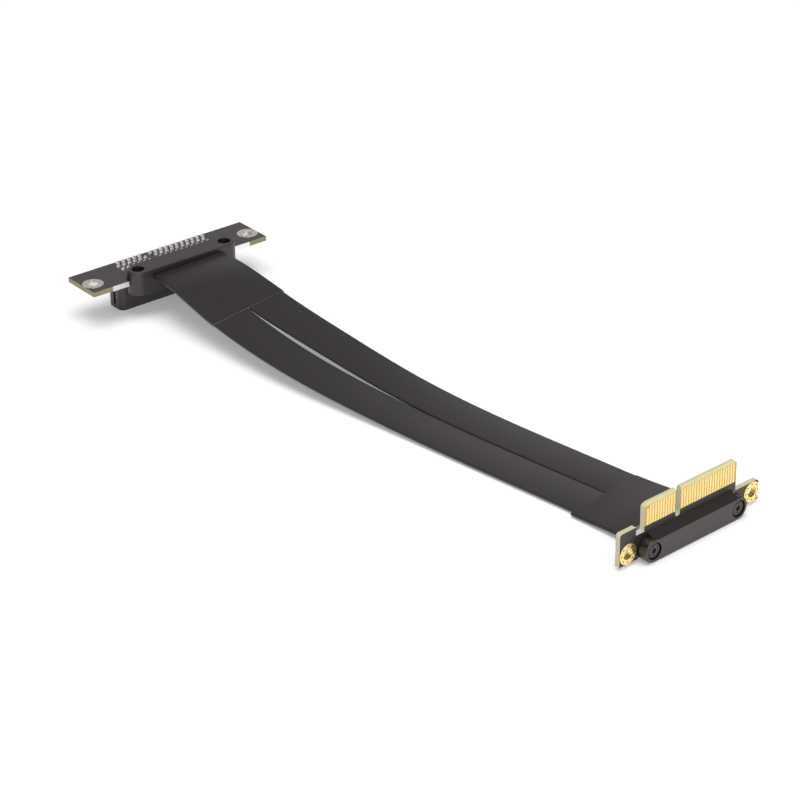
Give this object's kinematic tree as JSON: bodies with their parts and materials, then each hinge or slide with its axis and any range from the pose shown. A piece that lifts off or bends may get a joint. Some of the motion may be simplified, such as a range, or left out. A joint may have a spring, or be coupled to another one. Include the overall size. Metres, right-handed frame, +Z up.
{
  "type": "pcie riser card",
  "caption": "Flexible riser: a card-edge board and a slot board joined by two flat shielded ribbons held in screwed clamps.",
  "frame": {"origin": "middle of the base of the whole part's bounding box", "axes": "+Z up from the surface the part lies on, +Y from the card end to the slot end, +X along the card from its key side to its far side"},
  "size_m": [0.0699, 0.224, 0.0167],
  "materials": {
    "connector_body": "moulded, slightly rough",
    "contact_spring": "gold-flashed spring strip",
    "solder": "bright solder",
    "circuit_board": "black solder mask, half gloss",
    "tinned_copper": "levelled tin",
    "clamp_plastic": "moulded, fine texture",
    "gold_plating": "gold plated",
    "strip_jacket": "woven conductive jacket, dull",
    "sleeve_film": "smooth film, slightly glossy"
  },
  "bodies": {
    "root": {"slot_housing": "connector_body", "slot_contacts_front": "contact_spring", "slot_contacts_back": "contact_spring", "slot_solder_joints": "solder", "slot_board": "circuit_board", "slot_board_rings": "tinned_copper", "slot_board_edge_plating": "tinned_copper", "slot_clamp_top": "clamp_plastic", "slot_clamp_bottom": "clamp_plastic", "slot_solder_lands": "tinned_copper", "slot_conductors": "tinned_copper", "card_board": "circuit_board", "card_board_rings": "gold_plating", "card_fingers_front": "gold_plating", "card_fingers_back": "gold_plating", "card_shoulder_plating": "tinned_copper", "card_clamp_front": "clamp_plastic", "card_clamp_back": "clamp_plastic", "card_solder_lands": "tinned_copper", "card_conductors": "tinned_copper", "near_strip": "strip_jacket", "far_strip": "strip_jacket", "slot_end_sleeve": "sleeve_film", "card_end_sleeve": "sleeve_film"}
  },
  "joints": []
}
